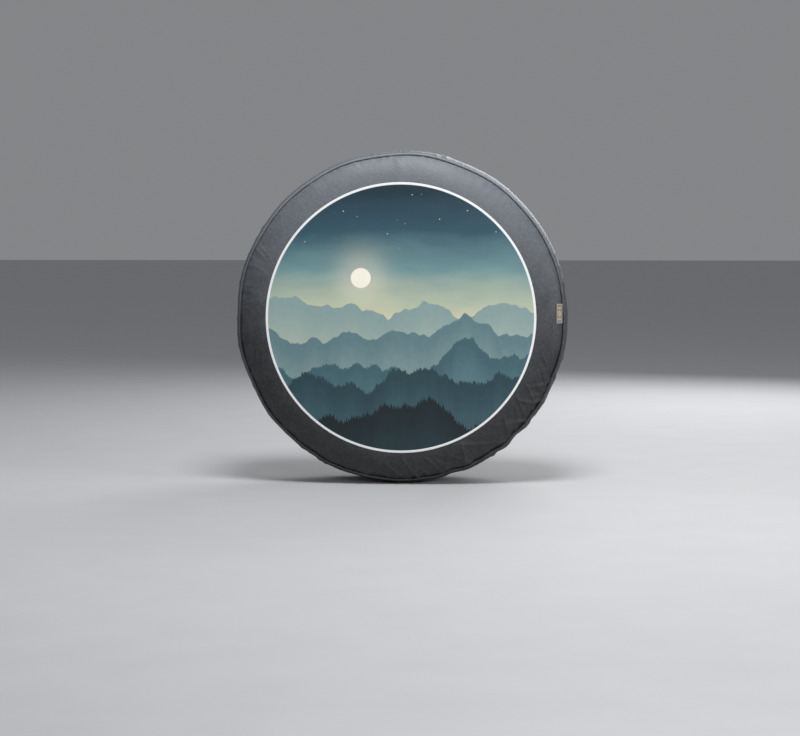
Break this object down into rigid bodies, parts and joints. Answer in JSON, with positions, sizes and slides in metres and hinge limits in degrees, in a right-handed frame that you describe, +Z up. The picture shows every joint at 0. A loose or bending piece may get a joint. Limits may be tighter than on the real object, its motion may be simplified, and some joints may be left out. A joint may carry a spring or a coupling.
{
  "type": "spare tire cover",
  "caption": "Round soft vinyl cover for a rear-mounted spare tire, with a printed flat face, a piped edge seam, an elastic hem at the open back and a buckled retaining strap.",
  "frame": {"origin": "middle of the tyre that the cover is cut for, on its axle", "axes": "+Z up as carried, +Y along the axle out of the open back, -Y out of the printed face, +X to the right of the face"},
  "size_m": [0.8208, 0.2738, 0.8208],
  "materials": {
    "black_vinyl": "charcoal black pebbled PVC leathercloth, satin",
    "printed_film": "satin printed film, dusk landscape with a white margin",
    "fleece_lining": "brushed grey polyester fleece",
    "woven_label": "grey woven satin with a plain gold woven motif",
    "strap_webbing": "black woven polypropylene",
    "buckle_plastic": "black moulded acetal, fine texture",
    "hem_elastic": "braided white shock cord",
    "piping_cord": "braided cotton",
    "binding_tape": "black grosgrain binding"
  },
  "bodies": {
    "root": {"face_panel": "black_vinyl", "face_lining": "fleece_lining", "print_film": "printed_film", "seam_piping": "black_vinyl", "piping_cord": "piping_cord", "band_left": "black_vinyl", "band_right": "black_vinyl", "band_lining_left": "fleece_lining", "band_lining_right": "fleece_lining", "seam_tape_top": "binding_tape", "seam_tape_bottom": "binding_tape", "hem_casing": "binding_tape", "hem_elastic": "hem_elastic", "strap_patch_left": "black_vinyl", "strap_patch_right": "black_vinyl", "strap_left": "strap_webbing", "strap_right": "strap_webbing", "buckle_socket": "buckle_plastic"},
    "label_flap": {"label": "woven_label"},
    "tongue": {"buckle_tongue": "buckle_plastic"},
    "prong_upper": {"buckle_prong_upper": "buckle_plastic"},
    "prong_lower": {"buckle_prong_lower": "buckle_plastic"},
    "keeper": {"strap_keeper": "buckle_plastic"}
  },
  "joints": [
    {"name": "label_lift", "type": "hinge", "parent": "root", "child": "label_flap", "pos_m": [0.39592, -0.10881, 0.011], "axis": [0, 0, 1], "range_deg": [0, 120]},
    {"name": "buckle_release", "type": "slide", "parent": "root", "child": "tongue", "axis": [-1, 0, 0], "range_m": [0, 0.03], "deforming": ["strap_left", "buckle_prong_upper", "buckle_prong_lower"]},
    {"name": "prong_squeeze", "type": "hinge", "parent": "tongue", "child": "prong_upper", "pos_m": [-0.0035, 0.1382, -0.2055], "axis": [0, 1, 0], "range_deg": [0, 13], "stiffness_Nm_per_rad": 0.08},
    {"name": "prong_squeeze_lower", "type": "hinge", "parent": "tongue", "child": "prong_lower", "pos_m": [-0.0035, 0.1382, -0.2245], "axis": [0, -1, 0], "range_deg": [0, 13], "stiffness_Nm_per_rad": 0.08},
    {"name": "keeper_slide", "type": "slide", "parent": "root", "child": "keeper", "axis": [-1, 0, 0], "range_m": [0, 0.035]}
  ],
  "couplings": [
    {"joint": "prong_squeeze_lower", "follows": "prong_squeeze", "ratio": 1}
  ]
}
